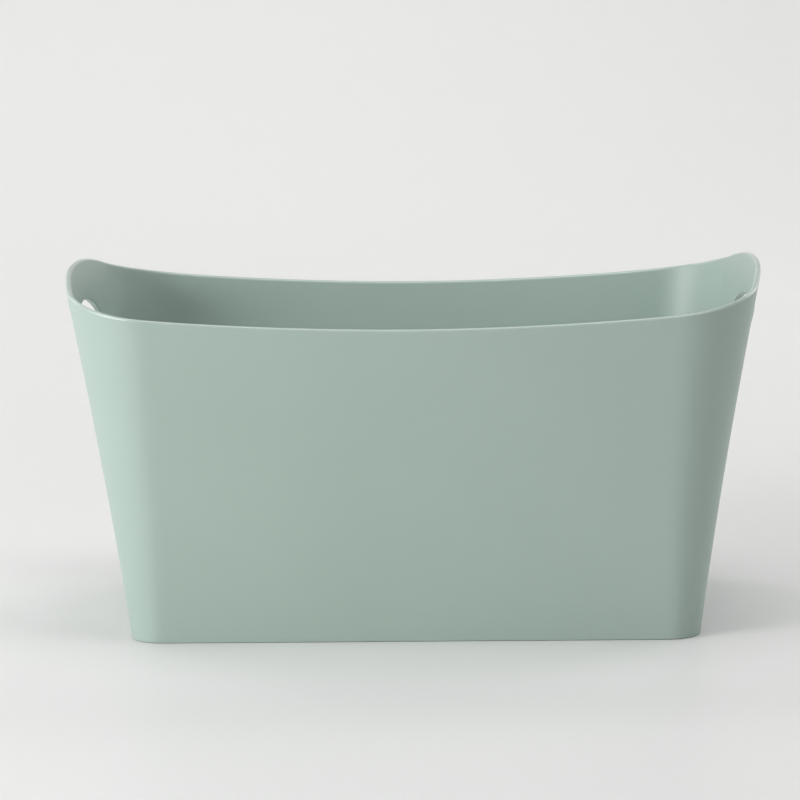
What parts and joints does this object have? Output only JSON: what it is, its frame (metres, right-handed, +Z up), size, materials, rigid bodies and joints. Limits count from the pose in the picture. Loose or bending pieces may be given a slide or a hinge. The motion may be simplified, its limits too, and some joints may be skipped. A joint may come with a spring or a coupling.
{
  "type": "storage basket",
  "caption": "Flared rectangular plastic storage basket with a saddle-shaped rim, a raised ear at each end and oval hand holes under the ears.",
  "frame": {"origin": "on the floor under the middle of the tub", "axes": "+X along the long walls towards the right end, +Y from the front wall to the back wall, +Z up to the open top"},
  "size_m": [0.3994, 0.2486, 0.2062],
  "materials": {
    "tub_plastic": "fine satin, sage green",
    "foot_rubber": "matt elastomer"
  },
  "bodies": {
    "root": {"basket_shell": "tub_plastic", "foot_front_left": "foot_rubber", "foot_front_right": "foot_rubber", "foot_back_left": "foot_rubber", "foot_back_right": "foot_rubber"}
  },
  "joints": []
}
